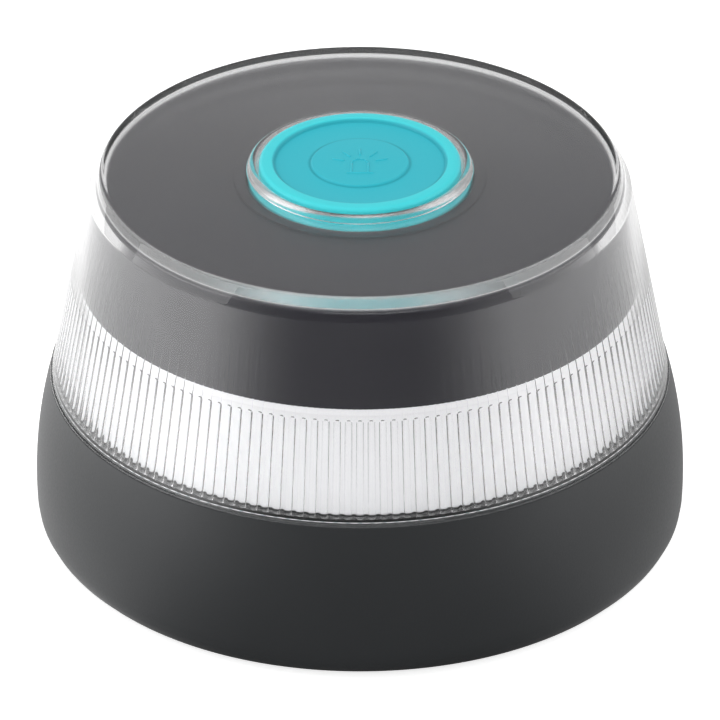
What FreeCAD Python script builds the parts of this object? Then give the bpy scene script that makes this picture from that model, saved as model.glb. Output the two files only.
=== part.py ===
"""Roadside hazard beacon: a squat truncated cone with a ribbed clear lens over a dark base and a push button.

Millimetres, +Z up. The origin is the centre of the surface that the beacon stands on, under its rubber foot.
"""
import FreeCAD
import Part
import math
import os

V = FreeCAD.Vector
UP = V(0, 0, 1)
ORIGIN = V(0, 0, 0)

# ---- Base housing --------------------------------------------------------------------------------
foot_proud = 0.6        # how far the rubber foot stands below the base
belly_radius = 45.0     # widest radius of the base
belly_height = 7.1      # height of the widest ring above the base's underside
side_arc = 61.7         # radius of the base's crowned side, seen in section
base_height = 23.2      # underside to rim
base_wall = 2.2
base_floor = 2.0
bottom_round = 4.0      # radius of the rounded corner under the side
rim_land = 1.7          # width of the rim that carries the lens
ledge_below_rim = 4.9   # inner ledge, below the rim
ledge_width = 4.2       # ledge, inwards from the rim's bore
ledge_thickness = 1.6

# ---- Clear lens ----------------------------------------------------------------------------------
lens_height = 31.5      # rim of the base to the flat top
lens_draft = 11.23      # slope of the side, degrees from upright
lens_wall = 2.0
lens_top = 2.4
shoulder_drop = 2.9     # the bevel round the top starts this far below it
crown_radius = 35.5     # radius of the flat top
shoulder_round = 1.1    # radius of the rounded corners at the bevel
lens_step = 0.5         # clear floor under the ribs, above the rim
tongue_wall = 1.6
tongue_gap = 0.1
bead_depth = 0.4        # snap bead round the tongue
bead_half_height = 0.8
bead_above_ledge = 2.7
collar_width = 1.35     # raised ring round the button
collar_height = 0.9

# ---- Light-guiding ribs inside the lens ----------------------------------------------------------
rib_count = 160
rib_width = 1.08
rib_depth = 0.54
rib_crest = 0.5         # width of the rib's crest
rib_start = 1.0         # above the rim
rib_length = 13.5
rib_root = 0.4          # how far a rib's root runs into the wall

# ---- Seals ---------------------------------------------------------------------------------------
lens_seal_height = 1.0
foot_margin = 0.3       # flat underside left outside the rubber foot
foot_width = 1.6
foot_groove = 0.8
cover_seal_section = 1.0
cover_seal_gap = 0.05

# ---- Battery cover and its quarter-turn lock -----------------------------------------------------
cover_plate = 1.9
cover_gap = 0.3
flange_overlap = 2.0    # base flange, inwards from the cover's edge
flange_thickness = 1.2
lug_count = 3
lug_angle = 24.0
lug_thickness = 1.3
lug_gap = 0.15
neck_wall = 1.6
neck_gap = 0.35
lock_turn = 32.0        # locked to release, degrees
slot_margin = 1.5
stop_angle = 3.0
stop_margin = 1.0
coin_slot_width = 2.0
coin_slot_length = 18.0
coin_slot_depth = 1.0
coin_boss_wall = 1.5
collar_ring_wall = 1.6

# ---- Batteries and cradle ------------------------------------------------------------------------
cell_count = 3
cell_radius = 5.25
cell_length = 44.5
cell_pitch = 11.0
cell_nipple_radius = 1.9
cell_nipple = 0.8
cell_edge = 0.4
cell_gap = 0.3
bay_wall = 1.2
bay_depth = 8.5
contact_thickness = 0.4
contact_width = 7.0
contact_spring_length = 2.6
bulkhead = 1.2
bulkhead_gap = 0.5

# ---- Fasteners, posts and magnets ----------------------------------------------------------------
post_count = 4
post_radius = 2.5
post_edge = 0.35        # board left outside a post
post_margin = 0.6       # between a post and the cover's bore
screw_radius = 1.0
screw_head_radius = 1.9
screw_head = 1.3
screw_margin = 1.1      # between the top screws' heads and the button's well
screw_gap = 0.05
screw_reach = 6.0       # length of a screw inside its post or boss
magnet_count = 4
magnet_radius = 4.0
magnet_height = 3.0
magnet_margin = 0.2     # between the cover's bore and a magnet's cup
magnet_gap = 0.1
magnet_skin = 1.3
magnet_wall = 1.0

# ---- Electronics ---------------------------------------------------------------------------------
board = 1.6
board_standoff = 1.0
drum_wall = 1.6
drum_flange = 4.5       # inward foot of the drum
drum_flange_thickness = 1.5
drum_screw_count = 3
drum_boss_radius = 2.2
drum_boss_height = 8.0
drum_screw_angle = 90.0
strip_thickness = 0.4
strip_height = 9.0
led_count = 24
led_width = 3.0
led_height = 3.4
led_depth = 1.0
led_above_rim = 8.3     # LED centre above the base's rim
top_board_gap = 3.64    # between the top board and the shroud

# ---- Parts on the boards -------------------------------------------------------------------------
modem_width = 18.0
modem_depth = 16.0
modem_height = 2.5
modem_margin = 1.25     # between the module's corners and the drum's foot
chip_row = 8.5          # distance of the chip row from the axis, towards the front
microcontroller_size = 7.0
microcontroller_height = 1.0
chip_margin = 0.93      # between the microcontroller's corner and the drum's foot
sim_width = 6.0
sim_depth = 5.0
sim_height = 0.9
sim_x = 8.0
capacitor_radius = 2.5
capacitor_height = 5.8
capacitor_edge = 0.4
capacitor_gap = 0.9     # between the cans and the drum's foot, across
capacitor_y = 3.0
inductor_size = 6.0
inductor_height = 3.5
inductor_edge = 1.0
link_width = 12.0
link_depth = 2.5
link_gap = 0.6          # between the link's corners and the drum's foot
antenna_height = 3.0
antenna_margin = 1.4    # board left each side of the antenna, out to its edge and in to the well

# ---- Diffuser and shroud -------------------------------------------------------------------------
diffuser_wall = 1.5
diffuser_rib_gap = 0.85
diffuser_fit = 0.3
spigot_height = 1.5
spigot_gap = 0.15
shroud_gap = 0.3
shroud_wall = 1.5
shroud_top = 1.6
shroud_air = 0.4        # between the lens's underside and the shroud
shroud_edge_above_rim = 15.45
shroud_bevel = 0.8
well_wall = 1.6
well_depth = 6.4        # the shroud's top to the top board

# ---- Button and switch ---------------------------------------------------------------------------
button_radius = 13.8
button_gap = 0.25
button_proud = 1.3      # outer ring above the lens's flat top
button_ring_width = 1.75
button_ring_height = 0.5
button_web = 1.6
button_skirt = 1.5
button_dot_radius = 6.55
button_dot_height = 0.25
button_flange = 1.4
button_flange_height = 1.3
button_rest_gap = 0.2
button_travel = 0.8
well_gap = 0.4
stem_radius = 3.0
switch_size = 12.0
switch_height = 3.0
plunger_radius = 3.4
plunger_gap = 0.05
plunger_proud = 0.8
plunger_length = 2.4

# ---- Heights that the pieces share ---------------------------------------------------------------
base_bottom = foot_proud
floor_top = base_bottom + base_floor
belly_z = base_bottom + belly_height
rim_top = base_bottom + base_height
ledge_top = rim_top - ledge_below_rim
ledge_bottom = ledge_top - ledge_thickness
flange_bottom = base_bottom + cover_plate + cover_seal_gap
flange_top = flange_bottom + flange_thickness
lug_bottom = flange_top + lug_gap
lug_top = lug_bottom + lug_thickness
cell_bottom = lug_top + cell_gap
cell_z = cell_bottom + cell_radius
bulkhead_bottom = cell_z + cell_radius + cell_gap
bulkhead_top = bulkhead_bottom + bulkhead
board_bottom = bulkhead_top + board_standoff
board_top = board_bottom + board
lens_top_z = rim_top + lens_height
lens_under = lens_top_z - lens_top
shroud_top_z = lens_under - shroud_air
shroud_edge = rim_top + shroud_edge_above_rim
diffuser_bottom = rim_top + rib_start
top_board_top = shroud_top_z - well_depth
drum_top = top_board_top - board
switch_top = top_board_top + switch_height
plunger_top = switch_top + plunger_proud
button_ring_top = lens_top_z + button_proud
button_face = button_ring_top - button_ring_height
button_flange_top = lens_under - button_rest_gap

# ---- Radii that the pieces share -----------------------------------------------------------------
draft = math.radians(lens_draft)
side_centre = belly_radius - side_arc


def side_radius(z, inset=0.0):
    """Radius of the base's crowned side at height z, moved inwards by inset."""
    return side_centre + math.sqrt((side_arc - inset) ** 2 - (z - belly_z) ** 2)


def lens_radius(z, inset=0.0):
    """Radius of the lens's sloping side at height z, moved inwards by inset square to the side."""
    return rim_radius - (z - rim_top) * math.tan(draft) - inset / math.cos(draft)


rim_radius = side_radius(rim_top)
rim_bore = rim_radius - rim_land
ledge_bore = rim_bore - ledge_width
tongue_radius = rim_bore - tongue_gap
tongue_bore = tongue_radius - tongue_wall
carrier_radius = tongue_bore - diffuser_fit
bulkhead_radius = ledge_bore - bulkhead_gap
post_circle = bulkhead_radius - post_edge - post_radius
cover_bore = post_circle - post_radius - post_margin
cover_radius = cover_bore - cover_gap
flange_bore = cover_bore - flange_overlap
neck_radius = flange_bore - neck_gap
lug_radius = cover_radius
slot_radius = lug_radius + cover_gap
button_bore = button_radius + button_gap
collar_radius = button_bore + collar_width
well_radius = button_radius + button_flange + well_gap
well_outer = well_radius + well_wall
cell_places = [(i - (cell_count - 1) / 2) * cell_pitch for i in range(cell_count)]
half_turn_post = 180.0 / post_count
cup_radius = magnet_radius + magnet_gap + magnet_wall
magnet_circle = cover_bore + magnet_margin + cup_radius
foot_radius = side_radius(base_bottom) - bottom_round - foot_margin
foot_bore = foot_radius - foot_width
drum_boss_circle = well_outer + screw_margin + screw_head_radius
drum_radius = drum_boss_circle + drum_boss_radius + drum_wall
drum_bore = drum_radius - drum_wall
drum_foot_bore = drum_bore - drum_flange
top_board_radius = lens_radius(top_board_top, lens_wall + shroud_gap + shroud_wall) - top_board_gap
modem_y = math.sqrt((drum_foot_bore - modem_margin) ** 2 - (modem_width / 2) ** 2) - modem_depth / 2
chip_front = chip_row + microcontroller_size / 2
chip_side = math.sqrt((drum_foot_bore - chip_margin) ** 2 - chip_front ** 2)
microcontroller_x = chip_side - microcontroller_size / 2
capacitor_x = drum_foot_bore - capacitor_gap - capacitor_radius
link_y = math.sqrt((drum_foot_bore - link_gap) ** 2 - (link_width / 2) ** 2) - link_depth / 2
antenna_size = top_board_radius - well_outer - 2 * antenna_margin


def outline(start, *steps):
    """Closed face in the XZ plane: a step is a point, or a pair (point on the arc, end of the arc)."""
    edges = []
    here = V(start[0], 0, start[1])
    for step in steps + (start,):
        if isinstance(step[0], tuple):
            middle, end = step
            there = V(end[0], 0, end[1])
            edges.append(Part.Arc(here, V(middle[0], 0, middle[1]), there).toShape())
        else:
            there = V(step[0], 0, step[1])
            edges.append(Part.LineSegment(here, there).toShape())
        here = there
    return Part.Face(Part.Wire(edges))


def turned(start, *steps):
    """Solid of revolution about the vertical axis."""
    return outline(start, *steps).revolve(ORIGIN, UP, 360)


def ring(outer, inner, bottom, top):
    """Plain upright ring, or a disc when inner is 0."""
    body = Part.makeCylinder(outer, top - bottom, V(0, 0, bottom))
    if inner > 0:
        body = body.cut(Part.makeCylinder(inner, top - bottom, V(0, 0, bottom)))
    return body


def post(x, y, radius, bottom, top):
    return Part.makeCylinder(radius, top - bottom, V(x, y, bottom))


def block(width, depth, bottom, top, x=0.0, y=0.0):
    return Part.makeBox(width, depth, top - bottom, V(x - width / 2, y - depth / 2, bottom))


def spin(shape, angle):
    copy = shape.copy()
    copy.rotate(ORIGIN, UP, angle)
    return copy


def around(shape, count, first=0.0):
    """Copies of a shape, spread evenly round the vertical axis."""
    return [spin(shape, first + 360.0 * i / count) for i in range(count)]


def sector(outer, inner, bottom, top, first, angle):
    """Part of a ring, from the angle first, in degrees."""
    face = outline((inner, bottom), (outer, bottom), (outer, top), (inner, top))
    return spin(face.revolve(ORIGIN, UP, angle), first)


def rounded(before, corner, after, radius, chords=3):
    """Points of an outline's rounded corner, on short chords, so that each turns into a plain cone."""
    here = V(corner[0], 0, corner[1])
    back = (V(before[0], 0, before[1]) - here).normalize()
    ahead = (V(after[0], 0, after[1]) - here).normalize()
    half = back.getAngle(ahead) / 2
    turn = math.pi - 2 * half
    centre = here + (back + ahead).normalize() * (radius / math.sin(half))
    first = here + back * (radius / math.tan(half)) - centre
    last = here + ahead * (radius / math.tan(half)) - centre
    points = []
    for k in range(chords + 1):
        swept = turn * k / chords
        spoke = first * math.sin(turn - swept) + last * math.sin(swept)
        point = centre + spoke / math.sin(turn)
        points.append((point.x, point.z))
    return points


def screw(x, y, head_bottom, tip):
    """Pan-head screw with its axis upright and its head on top."""
    head_top = head_bottom + screw_head
    body = turned((0, tip), (screw_radius, tip), (screw_radius, head_bottom),
                  (screw_head_radius, head_bottom), (screw_head_radius, head_top), (0, head_top))
    body.translate(V(x, y, 0))
    return body


def save(name, shape):
    shape.exportStep("parts/" + name + ".step")


def base_housing():
    inner_top = ledge_bottom - (side_radius(ledge_bottom, base_wall) - ledge_bore)
    inner_middle = (inner_top + floor_top) / 2
    outer_ring = cover_bore + collar_ring_wall
    groove_mid = ledge_top + bead_above_ledge
    groove_half = bead_half_height + tongue_gap
    side_bottom = base_bottom + bottom_round
    side_foot = side_radius(side_bottom)
    side_middle = (side_bottom + rim_top) / 2
    body = turned(
        (cover_bore, base_bottom),
        *rounded((cover_bore, base_bottom), (side_foot, base_bottom), (side_foot, side_bottom),
                 bottom_round, 5),
        ((side_radius(side_middle), side_middle), (rim_radius, rim_top)),
        (rim_bore, rim_top),
        (rim_bore, groove_mid + groove_half),
        (rim_bore + bead_depth, groove_mid),
        (rim_bore, groove_mid - groove_half),
        (rim_bore, ledge_top),
        (ledge_bore, ledge_top),
        (ledge_bore, ledge_bottom),
        (side_radius(inner_top, base_wall), inner_top),
        ((side_radius(inner_middle, base_wall), inner_middle),
         (side_radius(floor_top, base_wall), floor_top)),
        (outer_ring, floor_top),
        (outer_ring, flange_top),
        (flange_bore, flange_top),
        (flange_bore, flange_bottom),
        (cover_bore, flange_bottom),
    )
    posts = around(post(post_circle, 0, post_radius, base_bottom + magnet_skin, bulkhead_bottom), post_count)
    cups = around(post(magnet_circle, 0, cup_radius, base_bottom + magnet_skin,
                       base_bottom + magnet_skin + magnet_height), magnet_count, half_turn_post)
    first_stop = -lug_angle / 2 - stop_margin - stop_angle
    last_stop = lock_turn + lug_angle / 2 + stop_margin
    stops = []
    for angle in (first_stop, last_stop):
        stop = sector(outer_ring, flange_bore, flange_top - slot_margin / 2, lug_top, angle, stop_angle)
        stops += around(stop, lug_count)
    body = body.fuse(posts + cups + stops)
    slot = sector(slot_radius, neck_radius, flange_bottom - 1, lug_bottom,
                  lock_turn - lug_angle / 2 - slot_margin + stop_margin / 2,
                  lug_angle + slot_margin + stop_margin / 2)
    cuts = around(slot, lug_count)
    cuts += around(post(magnet_circle, 0, magnet_radius + magnet_gap, base_bottom + magnet_skin,
                        bulkhead_bottom), magnet_count, half_turn_post)
    cuts += around(post(post_circle, 0, screw_radius + screw_gap, floor_top, bulkhead_bottom), post_count)
    cuts.append(ring(foot_radius, foot_bore, base_bottom, base_bottom + foot_groove))
    return body.cut(cuts).removeSplitter()


def foot_ring():
    return ring(foot_radius, foot_bore, 0, base_bottom + foot_groove)


def magnets():
    bottom = base_bottom + magnet_skin
    disc = post(magnet_circle, 0, magnet_radius, bottom, bottom + magnet_height)
    return Part.makeCompound(around(disc, magnet_count, half_turn_post))


def cover_seal_radii():
    middle = (flange_bore + cover_bore) / 2
    return middle + cover_seal_section / 2, middle - cover_seal_section / 2


def battery_cover():
    neck_bore = neck_radius - neck_wall
    plate_top = base_bottom + cover_plate
    body = turned((0, base_bottom), (cover_radius, base_bottom), (cover_radius, plate_top),
                  (neck_radius, plate_top), (neck_radius, lug_top), (neck_bore, lug_top),
                  (neck_bore, plate_top), (0, plate_top))
    lug = sector(lug_radius, neck_radius - neck_wall / 2, lug_bottom, lug_top, -lug_angle / 2, lug_angle)
    boss = block(coin_slot_length + 2 * coin_boss_wall, coin_slot_width + 2 * coin_boss_wall,
                 base_bottom + coin_slot_depth, plate_top + coin_slot_depth)
    body = body.fuse(around(lug, lug_count) + [boss])
    outer, inner = cover_seal_radii()
    groove = ring(outer, inner, plate_top - cover_seal_section, plate_top)
    slot = block(coin_slot_length, coin_slot_width, base_bottom, base_bottom + coin_slot_depth)
    return body.cut([groove, slot]).removeSplitter()


def cover_seal():
    outer, inner = cover_seal_radii()
    plate_top = base_bottom + cover_plate
    return ring(outer, inner, plate_top - cover_seal_section, plate_top)


def battery_cell(x):
    can_length = cell_length - cell_nipple
    body = Part.makeCylinder(cell_radius, can_length, V(x, -cell_length / 2, cell_z), V(0, 1, 0))
    body = body.makeChamfer(cell_edge, [body.Edges[0], body.Edges[2]])
    nipple = Part.makeCylinder(cell_nipple_radius, cell_nipple, V(x, can_length - cell_length / 2, cell_z),
                               V(0, 1, 0))
    return body.fuse(nipple)


bay_front = cell_length / 2 + contact_thickness
bay_back = -cell_length / 2 - contact_spring_length
bay_half_width = cell_places[-1] + cell_radius + cell_gap


def battery_cradle():
    plate = ring(bulkhead_radius, 0, bulkhead_bottom, bulkhead_top)
    outer = Part.makeBox(2 * (bay_half_width + bay_wall), bay_front - bay_back + 2 * bay_wall, bay_depth,
                         V(-bay_half_width - bay_wall, bay_back - bay_wall, bulkhead_bottom - bay_depth))
    inner = Part.makeBox(2 * bay_half_width, bay_front - bay_back, bay_depth,
                         V(-bay_half_width, bay_back, bulkhead_bottom - bay_depth))
    standoffs = around(post(post_circle, 0, post_radius, bulkhead_top, board_bottom), post_count)
    standoffs += around(post(drum_boss_circle, 0, drum_boss_radius, bulkhead_top, board_bottom),
                        drum_screw_count, drum_screw_angle - 60)
    holes = around(post(post_circle, 0, screw_radius + screw_gap, bulkhead_bottom, board_bottom), post_count)
    holes += around(post(drum_boss_circle, 0, screw_radius + screw_gap, bulkhead_bottom + bulkhead / 2,
                         board_bottom), drum_screw_count, drum_screw_angle - 60)
    return plate.fuse([outer.cut(inner)] + standoffs).cut(holes).removeSplitter()


def contact_plates():
    low = cell_z - contact_width / 2
    middle = bay_front - contact_thickness / 2
    high = low + contact_width
    plates = [block(contact_width, contact_thickness, low, high, x, middle) for x in cell_places]
    return Part.makeCompound(plates)


def contact_springs():
    """Bent strip contacts: a flat back on the bay's wall and a tongue that leans out to the cell."""
    t = contact_thickness
    low = cell_z - contact_width / 2
    high = cell_z + contact_width / 2
    crest = contact_spring_length
    tip = crest * 0.55
    tip_z = cell_z + contact_width * 0.35
    section = [(0, high), (0, low), (1.5 * t, low), (crest, cell_z), (tip, tip_z), (tip - t, tip_z),
               (crest - 1.3 * t, cell_z), (t, low + 2 * t), (t, high), (0, high)]
    strip = Part.Face(Part.makePolygon([V(-contact_width / 4, bay_back + y, z) for y, z in section]))
    strip = strip.extrude(V(contact_width / 2, 0, 0))
    springs = []
    for x in cell_places:
        spring = strip.copy()
        spring.translate(V(x, 0, 0))
        springs.append(spring)
    return Part.makeCompound(springs)


def main_board():
    holes = around(post(post_circle, 0, screw_radius + screw_gap, board_bottom, board_top), post_count)
    holes += around(post(drum_boss_circle, 0, screw_radius + screw_gap, board_bottom, board_top),
                    drum_screw_count, drum_screw_angle - 60)
    return ring(bulkhead_radius, 0, board_bottom, board_top).cut(holes)


def led_drum():
    """Upright drum that carries the light strip and the top board."""
    foot_top = board_top + drum_flange_thickness
    body = turned((drum_foot_bore, board_top), (drum_radius, board_top), (drum_radius, drum_top),
                  (drum_bore, drum_top), (drum_bore, foot_top), (drum_foot_bore, foot_top))
    bosses = around(post(drum_boss_circle, 0, drum_boss_radius + drum_wall / 2, drum_top - drum_boss_height,
                         drum_top), drum_screw_count, drum_screw_angle)
    body = body.fuse(bosses)
    holes = around(post(drum_boss_circle, 0, screw_radius + screw_gap, board_top, foot_top),
                   drum_screw_count, drum_screw_angle - 60)
    holes += around(post(drum_boss_circle, 0, screw_radius + screw_gap, drum_top - screw_reach, drum_top),
                    drum_screw_count, drum_screw_angle)
    return body.cut(holes).removeSplitter()


def light_strip():
    middle = rim_top + led_above_rim
    half = strip_height / 2
    return ring(drum_radius + strip_thickness, drum_radius, middle - half, middle + half)


def leds():
    """Light-emitting diodes facing outwards, each with a domed front."""
    middle = rim_top + led_above_rim
    back = drum_radius + strip_thickness
    face = outline((back, middle - led_height / 2), (back + led_depth * 0.6, middle - led_height / 2),
                   (back + led_depth, middle - led_height / 4), (back + led_depth, middle + led_height / 4),
                   (back + led_depth * 0.6, middle + led_height / 2), (back, middle + led_height / 2))
    face.translate(V(0, -led_width / 2, 0))
    led = face.extrude(V(0, led_width, 0))
    led = led.cut(ring(back, 0, middle - led_height, middle + led_height))
    return Part.makeCompound(around(led, led_count))


def top_board():
    holes = around(post(drum_boss_circle, 0, screw_radius + screw_gap, drum_top, top_board_top),
                   drum_screw_count, drum_screw_angle)
    return ring(top_board_radius, 0, drum_top, top_board_top).cut(holes)


def diffuser_radius(z):
    return lens_radius(z, lens_wall + rib_depth + diffuser_rib_gap)


def diffuser_carrier():
    """Dark ring that stands on the base's ledge, inside the lens's tongue, and carries the diffuser."""
    return ring(carrier_radius, carrier_radius - diffuser_wall, ledge_top, diffuser_bottom)


def diffuser_ring():
    """White sloping ring behind the ribs, with a spigot for the shroud."""
    spigot = lens_radius(shroud_edge, lens_wall + shroud_gap + shroud_wall) - spigot_gap
    bore_top = spigot - diffuser_wall
    spigot_lean = spigot_height * math.tan(draft)
    spigot_top = shroud_edge + spigot_height
    return turned((carrier_radius - diffuser_wall, diffuser_bottom),
                  (diffuser_radius(diffuser_bottom), diffuser_bottom),
                  (diffuser_radius(shroud_edge), shroud_edge), (spigot, shroud_edge),
                  (spigot - spigot_lean, spigot_top), (bore_top - spigot_lean, spigot_top),
                  (bore_top, shroud_edge))


def shroud():
    """Dark inner cap: a flat disc, a sloping skirt and a well round the button."""
    inset = lens_wall + shroud_gap
    under = shroud_top_z - shroud_top
    crown = lens_radius(shroud_top_z, inset) - shroud_bevel
    bevel_bottom = shroud_top_z - shroud_bevel
    return turned((well_radius, top_board_top), (well_radius, shroud_top_z), (crown, shroud_top_z),
                  (crown + shroud_bevel * 0.7, shroud_top_z - shroud_bevel * 0.3),
                  (lens_radius(bevel_bottom, inset), bevel_bottom),
                  (lens_radius(shroud_edge, inset), shroud_edge),
                  (lens_radius(shroud_edge, inset + shroud_wall), shroud_edge),
                  (lens_radius(under, inset + shroud_wall), under), (well_outer, under),
                  (well_outer, top_board_top))


def button_seal():
    return ring(well_outer, well_radius, shroud_top_z, lens_under)


def lens_body():
    """Clear cap without its ribs."""
    bead_mid = ledge_top + bead_above_ledge
    tongue_bottom = ledge_top + lens_seal_height
    shoulder = lens_top_z - shoulder_drop
    collar_top = lens_top_z + collar_height
    step = rim_top + lens_step
    rim = (rim_radius, rim_top)
    edge = (lens_radius(shoulder), shoulder)
    crown = (crown_radius, lens_top_z)
    collar = (collar_radius, lens_top_z)
    return turned(
        (tongue_bore, tongue_bottom),
        (tongue_radius, tongue_bottom),
        (tongue_radius, bead_mid - bead_half_height),
        (tongue_radius + bead_depth, bead_mid),
        (tongue_radius, bead_mid + bead_half_height),
        (tongue_radius, rim_top),
        rim,
        *rounded(rim, edge, crown, shoulder_round),
        *rounded(edge, crown, collar, shoulder_round),
        collar,
        (collar_radius - collar_height * 0.6, collar_top),
        (button_bore, collar_top),
        (button_bore, lens_under),
        (lens_radius(lens_under, lens_wall), lens_under),
        (lens_radius(step, lens_wall), step),
        (tongue_bore, step),
    )


def rib():
    """One rib on the +X side: a flat-crested bar that lies along the lens's inner slope."""
    low = rim_top + rib_start
    high = low + rib_length * math.cos(draft)
    foot = V(lens_radius(low, lens_wall), 0, low)
    head = V(lens_radius(high, lens_wall), 0, high)
    inwards = V(-math.cos(draft), 0, -math.sin(draft))
    half = rib_width / 2
    section = [(-half, -rib_root), (-half, 0), (-rib_crest / 2, rib_depth), (rib_crest / 2, rib_depth),
               (half, 0), (half, -rib_root)]
    points = [foot + V(0, side, 0) + inwards * depth for side, depth in section]
    points.append(points[0])
    return Part.Face(Part.makePolygon(points)).extrude(head - foot)


def lens():
    return lens_body().fuse(around(rib(), rib_count))


def lens_seal():
    return ring(tongue_radius, tongue_bore, ledge_top, ledge_top + lens_seal_height)


def button_cap():
    ring_inner = button_radius - button_ring_width
    web_bottom = button_face - button_web
    flange_bottom_z = button_flange_top - button_flange_height
    return turned(
        (0, plunger_top),
        (stem_radius, plunger_top),
        (stem_radius, web_bottom),
        (button_radius - button_skirt, web_bottom),
        (button_radius - button_skirt, flange_bottom_z),
        (button_radius + button_flange, flange_bottom_z),
        (button_radius + button_flange, button_flange_top),
        (button_radius, button_flange_top),
        (button_radius, button_ring_top - button_ring_height),
        (button_radius - button_ring_height * 0.3, button_ring_top - button_ring_height * 0.3),
        (button_radius - button_ring_height, button_ring_top),
        (ring_inner + button_ring_height, button_ring_top),
        (ring_inner, button_face),
        (button_dot_radius + button_dot_height, button_face),
        (button_dot_radius, button_face + button_dot_height),
        (0, button_face + button_dot_height),
    )


def button_switch():
    body = block(switch_size, switch_size, top_board_top, switch_top)
    well_bottom = plunger_top - plunger_length - button_travel - plunger_gap
    well = post(0, 0, plunger_radius + plunger_gap, well_bottom, switch_top)
    return body.cut(well)


def switch_plunger():
    return post(0, 0, plunger_radius, plunger_top - plunger_length, plunger_top)


def board_screws():
    first = screw(post_circle, 0, board_top, bulkhead_bottom - screw_reach)
    return Part.makeCompound(around(first, post_count))


def drum_screws():
    flange = board_top + drum_flange_thickness
    first = screw(drum_boss_circle, 0, flange, bulkhead_bottom + bulkhead / 2)
    return Part.makeCompound(around(first, drum_screw_count, drum_screw_angle - 60))


def top_screws():
    first = screw(drum_boss_circle, 0, top_board_top, drum_top - screw_reach)
    return Part.makeCompound(around(first, drum_screw_count, drum_screw_angle))


def storage_capacitor(side):
    """Can capacitor on the main board, on the side 1 or -1 of the modem."""
    can = post(side * capacitor_x, capacitor_y, capacitor_radius, board_top, board_top + capacitor_height)
    return can.makeChamfer(capacitor_edge, [can.Edges[0]])


def power_inductor():
    coil = block(inductor_size, inductor_size, board_top, board_top + inductor_height, 0, -chip_row)
    uprights = [edge for edge in coil.Edges if abs(edge.tangentAt(edge.FirstParameter).z) > 0.9]
    return coil.makeChamfer(inductor_edge, uprights)


def satellite_antenna():
    place = top_board_radius - antenna_margin - antenna_size / 2
    return block(antenna_size, antenna_size, top_board_top, top_board_top + antenna_height, 0, -place)


nodes = {
    "base_housing": base_housing(),
    "foot_ring": foot_ring(),
    "magnets": magnets(),
    "battery_cover": battery_cover(),
    "cover_seal": cover_seal(),
    "battery_cradle": battery_cradle(),
    "contact_plates": contact_plates(),
    "contact_springs": contact_springs(),
    "main_board": main_board(),
    "modem_module": block(modem_width, modem_depth, board_top, board_top + modem_height, 0, modem_y),
    "microcontroller": block(microcontroller_size, microcontroller_size, board_top,
                             board_top + microcontroller_height, -microcontroller_x, -chip_row),
    "sim_chip": block(sim_width, sim_depth, board_top, board_top + sim_height, sim_x, -chip_row),
    "storage_capacitor_1": storage_capacitor(1),
    "storage_capacitor_2": storage_capacitor(-1),
    "power_inductor": power_inductor(),
    "board_link": block(link_width, link_depth, board_top, drum_top, 0, -link_y),
    "led_drum": led_drum(),
    "light_strip": light_strip(),
    "leds": leds(),
    "top_board": top_board(),
    "satellite_antenna": satellite_antenna(),
    "diffuser_carrier": diffuser_carrier(),
    "diffuser_ring": diffuser_ring(),
    "shroud": shroud(),
    "lens": lens(),
    "lens_seal": lens_seal(),
    "button_seal": button_seal(),
    "button_cap": button_cap(),
    "button_switch": button_switch(),
    "switch_plunger": switch_plunger(),
    "board_screws": board_screws(),
    "drum_screws": drum_screws(),
    "top_screws": top_screws(),
}
for number, place in enumerate(cell_places):
    nodes["battery_cell_%d" % (number + 1)] = battery_cell(place)

os.makedirs("parts", exist_ok=True)
for name, shape in nodes.items():
    save(name, shape)
    print(name, shape.isValid(), len(shape.Solids), round(shape.Volume, 1))
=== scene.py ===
import bpy
import math
from mathutils import Matrix, Vector


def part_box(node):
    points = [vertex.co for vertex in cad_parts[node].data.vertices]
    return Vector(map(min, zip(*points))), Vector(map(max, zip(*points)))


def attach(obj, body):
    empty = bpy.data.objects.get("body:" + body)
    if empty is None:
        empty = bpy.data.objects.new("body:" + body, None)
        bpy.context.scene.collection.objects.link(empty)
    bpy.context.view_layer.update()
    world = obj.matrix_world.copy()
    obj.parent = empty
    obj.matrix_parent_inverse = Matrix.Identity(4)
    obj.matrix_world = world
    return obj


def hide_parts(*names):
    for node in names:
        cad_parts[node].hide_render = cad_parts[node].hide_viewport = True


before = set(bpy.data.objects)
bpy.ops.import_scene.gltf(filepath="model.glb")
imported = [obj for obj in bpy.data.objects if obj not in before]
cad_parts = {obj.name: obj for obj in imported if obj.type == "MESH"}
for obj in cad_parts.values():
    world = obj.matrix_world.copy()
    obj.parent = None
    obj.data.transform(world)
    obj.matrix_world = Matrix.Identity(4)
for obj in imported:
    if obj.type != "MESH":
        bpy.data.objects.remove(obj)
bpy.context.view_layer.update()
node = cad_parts
MM = 0.001

# ---- Base housing --------------------------------------------------------------------------------------
# The skirt that everything stands in: one injection moulding in dark grey, with a crowned side and a fine
# satin texture from the tool. Its rim carries the lens, and the battery cover closes its underside.


def eased(corners, bend=5):
    """A closed outline in millimetres whose corners (radius, height, ease) are rounded by their ease."""
    points = []
    for i, (x, z, ease) in enumerate(corners):
        here = Vector((x, z))
        if ease == 0:
            points.append(here)
            continue
        before = (Vector(corners[i - 1][:2]) - here).normalized()
        after = (Vector(corners[(i + 1) % len(corners)][:2]) - here).normalized()
        half = before.angle(after) / 2
        turn = math.pi - 2 * half
        centre = here + (before + after).normalized() * ease / math.sin(half)
        first = here + before * ease / math.tan(half) - centre
        last = here + after * ease / math.tan(half) - centre
        for k in range(bend + 1):
            part = turn * k / bend
            points.append(centre + (first * math.sin(turn - part) + last * math.sin(part)) / math.sin(turn))
    return points


def smooth_gentle_edges():
    """Shades the active object smooth, except across edges sharper than the mould would round."""
    bpy.ops.object.shade_smooth_by_angle(angle=math.radians(32))


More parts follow.
